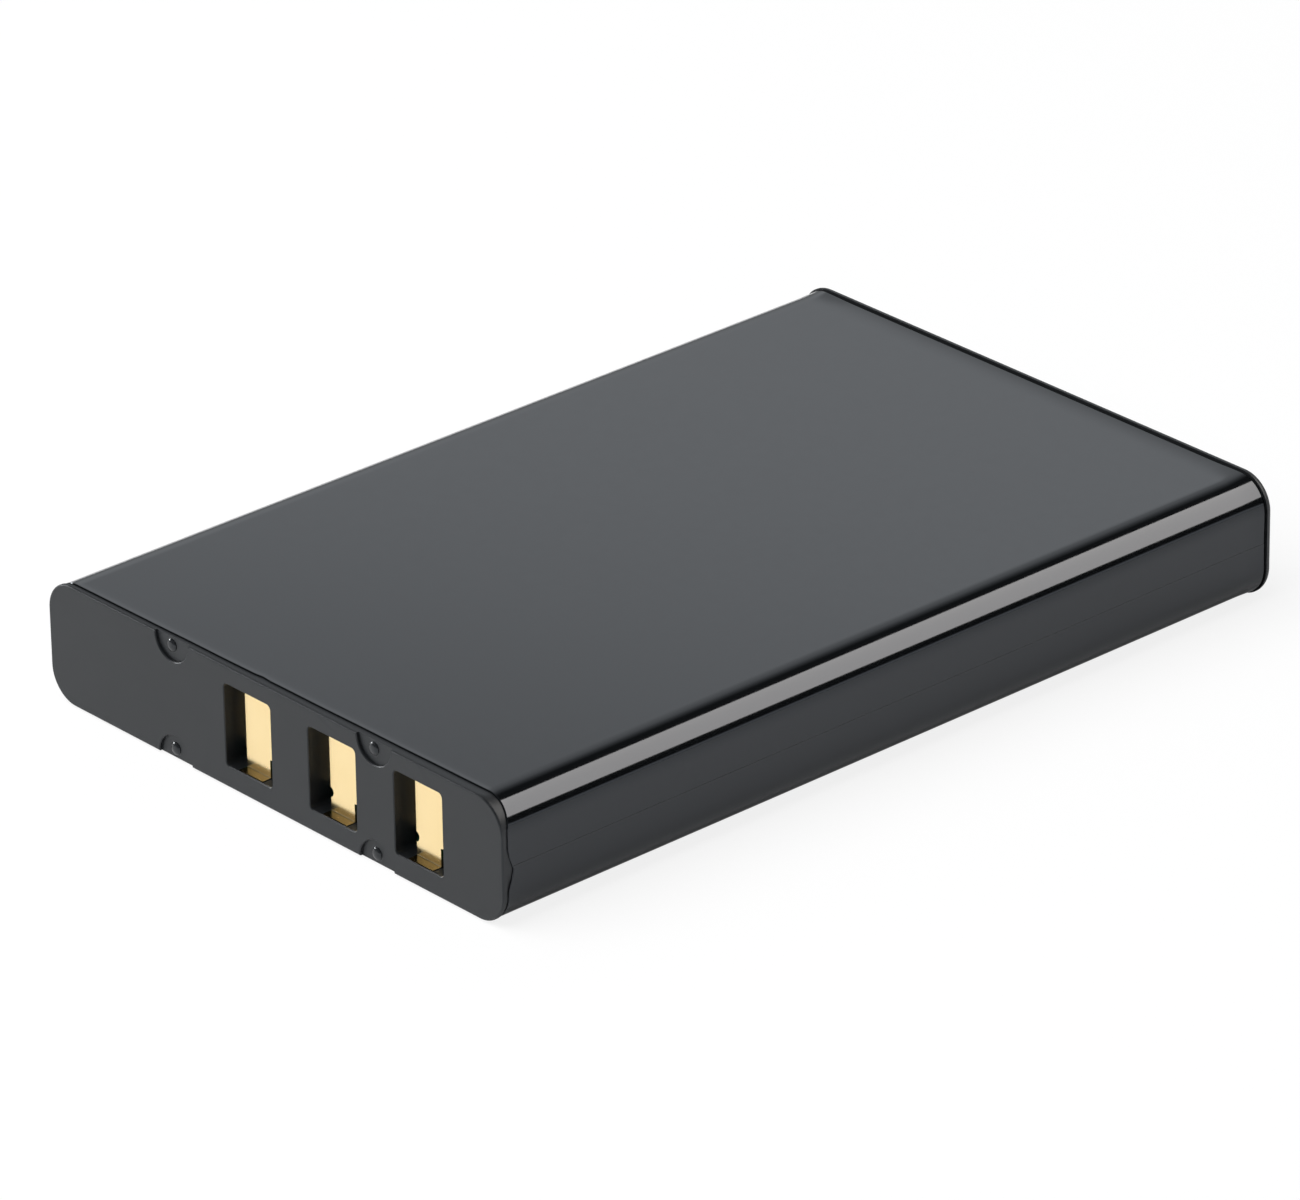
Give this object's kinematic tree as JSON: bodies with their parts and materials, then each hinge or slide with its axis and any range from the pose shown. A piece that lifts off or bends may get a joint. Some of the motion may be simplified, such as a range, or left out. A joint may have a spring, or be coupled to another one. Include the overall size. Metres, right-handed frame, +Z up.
{
  "type": "camera battery",
  "caption": "Slim black rechargeable camera battery: a film-wrapped cell with moulded end caps and gold contacts set in windows at one end.",
  "frame": {"origin": "middle of the surface that the pack lies on, under the middle of its outline", "axes": "+Y along the pack away from its contacts, +X across it towards the positive contact's side, +Z up through its thickness"},
  "size_m": [0.0352, 0.053, 0.007],
  "materials": {
    "black_film": "smooth black wrap film, softly glossy",
    "cap_plastic": "black moulded plastic with a fine spark-eroded matt grain",
    "contact_gold": "satin gold plating",
    "board_green": "green solder mask on glass-fibre board",
    "chip_black": "moulded epoxy",
    "chip_ceramic": "dark chip ceramic with tinned ends",
    "capacitor_tan": "tan chip ceramic with tinned ends",
    "can_aluminium": "drawn aluminium",
    "gasket_white": "natural moulded insulator",
    "nickel": "bright nickel strip",
    "insulating_paper": "die-cut insulating paper",
    "cutoff_grey": "moulded dark grey",
    "adhesive_pad": "double-sided adhesive pad"
  },
  "bodies": {
    "root": {"film_wrap": "black_film", "front_cap": "cap_plastic", "rear_cap": "cap_plastic", "contact_negative": "contact_gold", "contact_sense": "contact_gold", "contact_positive": "contact_gold", "circuit_board": "board_green", "protection_chip": "chip_black", "power_switch": "chip_black", "thermistor": "chip_ceramic", "chip_resistors": "chip_ceramic", "chip_capacitors": "capacitor_tan", "cell_can": "can_aluminium", "terminal_gasket": "gasket_white", "terminal_rivet": "nickel", "fill_plug": "nickel", "lid_insulator": "insulating_paper", "negative_tab": "nickel", "thermal_cutoff": "cutoff_grey", "cutoff_lead": "nickel", "positive_tab": "nickel", "rear_pad": "adhesive_pad"}
  },
  "joints": []
}
